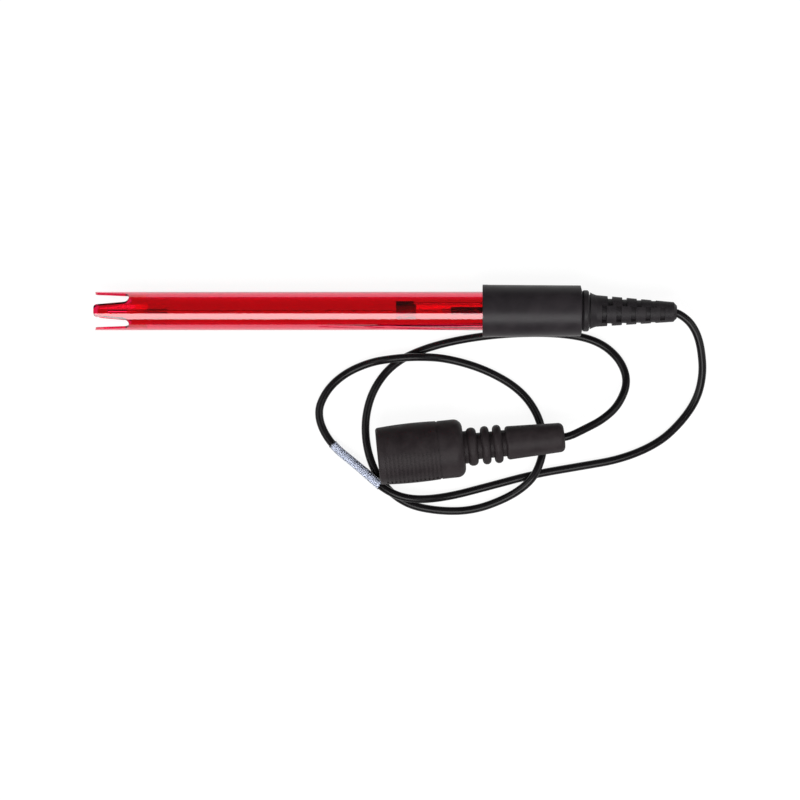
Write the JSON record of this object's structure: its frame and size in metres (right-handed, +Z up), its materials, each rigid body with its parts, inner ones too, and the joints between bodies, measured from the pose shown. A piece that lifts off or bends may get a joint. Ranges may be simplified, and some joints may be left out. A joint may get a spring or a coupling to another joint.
{
  "type": "redox probe",
  "caption": "Slim red tube probe with a pronged sensor guard, a black cap with ribbed strain relief, and a looped lead ending in a bellows-booted plug.",
  "frame": {"origin": "on the tube's axis at the cap's front face", "axes": "+X from the tip towards the lead, +Z up from the surface it lies on"},
  "size_m": [0.1899, 0.0717, 0.0185],
  "materials": {
    "tinted_plastic": "clear, deep red",
    "clear_resin": "clear cast resin",
    "stem_glass": "clear drawn glass",
    "platinum": "bright drawn metal",
    "silver": "dull silver",
    "silver_chloride": "dark granular",
    "porous_ceramic": "white porous",
    "gel": "clear gel",
    "dark_rubber": "soft black",
    "cap_plastic": "satin black, fine grain",
    "relief_rubber": "matte black",
    "boot_rubber": "matte black",
    "potting": "black potting",
    "lead_jacket": "smooth black",
    "core_insulation": "natural",
    "copper": "bare wire",
    "seal_rubber": "matte black",
    "nickel": "bright plated",
    "spring_steel": "bright",
    "gold": "bright plated",
    "white_insulator": "smooth white",
    "label_film": "pale grey-blue, bare",
    "clear_sleeve": "clear, shrunk on"
  },
  "bodies": {
    "probe": {"guard_tube": "tinted_plastic", "end_plug": "clear_resin", "porous_junction": "porous_ceramic", "glass_stem": "stem_glass", "platinum_pin": "platinum", "signal_wire": "copper", "stem_bung": "dark_rubber", "silver_wire": "silver", "reference_pellet": "silver_chloride", "electrolyte_gel": "gel", "lead_core": "core_insulation", "lead_jacket": "lead_jacket", "potting_plug": "potting", "cap": "cap_plastic", "seal_ring": "seal_rubber", "strain_relief": "relief_rubber", "plug_body": "nickel", "insulator": "white_insulator", "contact_pin": "gold", "face_gasket": "seal_rubber", "slip_washer": "spring_steel", "spring_washer": "spring_steel", "snap_ring": "spring_steel", "crimp_ferrule": "nickel", "plug_lead_core": "core_insulation", "plug_lead_jacket": "lead_jacket", "lead": "lead_jacket", "label_film": "label_film", "label_sleeve": "clear_sleeve"},
    "coupling": {"connector_boot": "boot_rubber", "bayonet_nut": "nickel"}
  },
  "joints": [
    {"name": "coupling_turn", "type": "hinge", "parent": "probe", "child": "coupling", "pos_m": [-0.032, -0.045, 0.00112], "axis": [-0.9946, -0.1035, 0], "continuous": true}
  ]
}
